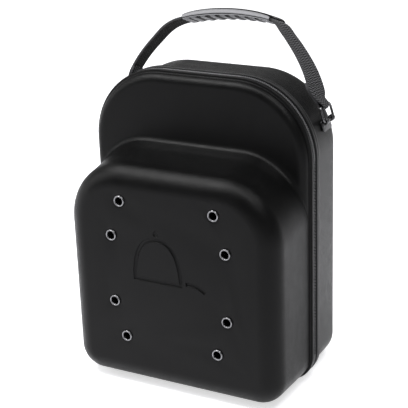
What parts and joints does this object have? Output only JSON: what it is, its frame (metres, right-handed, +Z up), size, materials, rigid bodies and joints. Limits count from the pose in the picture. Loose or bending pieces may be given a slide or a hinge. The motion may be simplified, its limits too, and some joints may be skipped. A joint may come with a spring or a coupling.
{
  "type": "baseball cap carrier case",
  "caption": "Moulded clamshell zip case for baseball caps, with a stepped bulging front, metal vent eyelets and a webbing strap with a rubber grip.",
  "frame": {"origin": "centre of the whole case's bounding box in plan, on the surface that it stands on", "axes": "+X to the right as seen from the front, the bulged front face towards -Y, +Z up; the zip seam is a plane of constant y"},
  "size_m": [0.2552, 0.1744, 0.3848],
  "materials": {
    "moulded_shell": "black fine-woven polyester laminated on moulded foam",
    "zip_tape": "black woven zip tape",
    "zip_coil": "black nylon coil",
    "hinge_cloth": "black woven cloth strip",
    "slider_metal": "black enamelled zinc",
    "webbing": "black woven nylon webbing",
    "grip_rubber": "grey moulded rubber with a dark back",
    "eyelet_metal": "gunmetal plated brass",
    "link_metal": "nickel plated steel"
  },
  "bodies": {
    "root": {"front_shell": "moulded_shell", "back_shell": "moulded_shell", "zip_tape_front": "zip_tape", "zip_tape_back": "zip_tape", "zip_coil": "zip_coil", "hinge_strip": "hinge_cloth", "zip_slider": "slider_metal", "strap": "webbing", "grip": "grip_rubber", "eyelet_1": "eyelet_metal", "eyelet_2": "eyelet_metal", "eyelet_3": "eyelet_metal", "eyelet_4": "eyelet_metal", "eyelet_5": "eyelet_metal", "eyelet_6": "eyelet_metal", "eyelet_7": "eyelet_metal", "eyelet_8": "eyelet_metal", "link_left": "link_metal", "anchor_left": "link_metal", "link_right": "link_metal", "anchor_right": "link_metal"}
  },
  "joints": []
}
